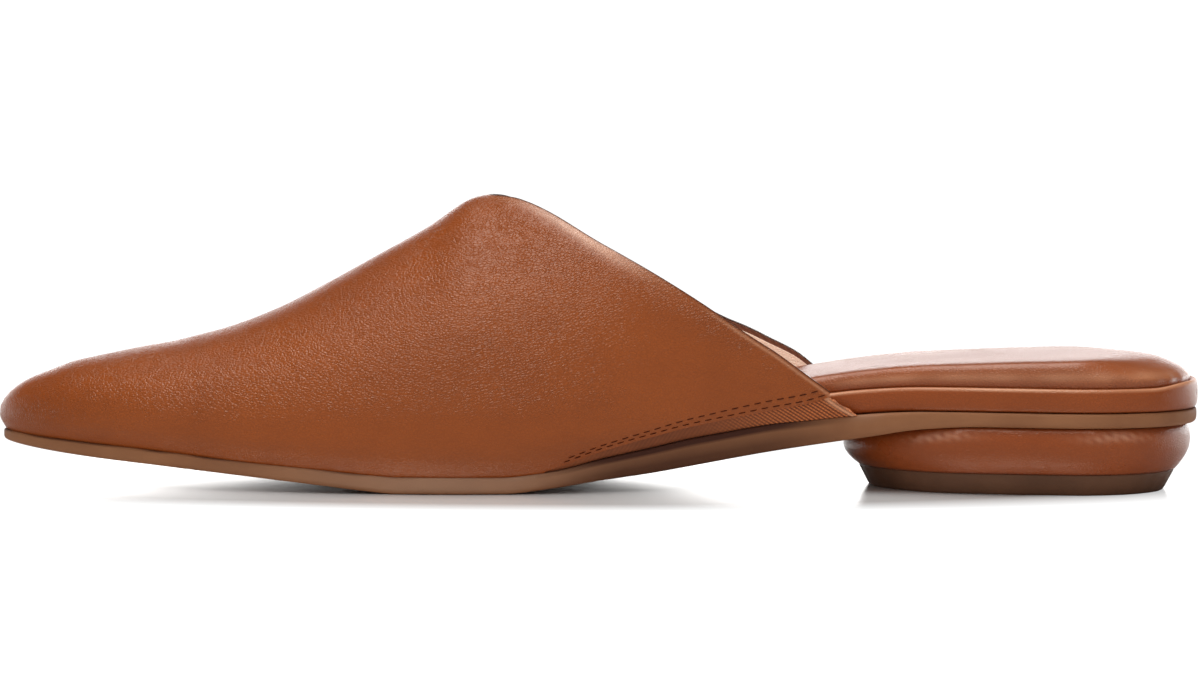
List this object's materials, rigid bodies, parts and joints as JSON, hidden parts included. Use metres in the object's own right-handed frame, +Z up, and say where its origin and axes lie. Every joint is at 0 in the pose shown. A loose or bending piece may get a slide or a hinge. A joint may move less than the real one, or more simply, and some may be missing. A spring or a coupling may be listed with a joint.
{
  "type": "mule shoe",
  "caption": "Backless slip-on shoe with an almond toe, a high peaked one-piece leather vamp, a side elastic insert, a padded footbed and a low covered oval heel.",
  "frame": {"origin": "centre of the shoe's footprint on the floor", "axes": "+Z up from the floor, +Y from the toe towards the heel, +X towards the inner side of the foot"},
  "size_m": [0.0825, 0.262, 0.063],
  "materials": {
    "upper_leather": "satin cognac leather with a fine natural grain",
    "footbed_leather": "satin cognac leather, padded, lighter where it catches the light",
    "elastic": "ribbed elastic webbing, brown",
    "sole_rubber": "matt taupe brown",
    "lift_rubber": "matt dark brown"
  },
  "bodies": {
    "root": {"outsole": "sole_rubber", "vamp": "upper_leather", "platform": "upper_leather", "footbed": "footbed_leather", "gore": "elastic", "heel": "upper_leather", "top_lift": "lift_rubber"}
  },
  "joints": []
}
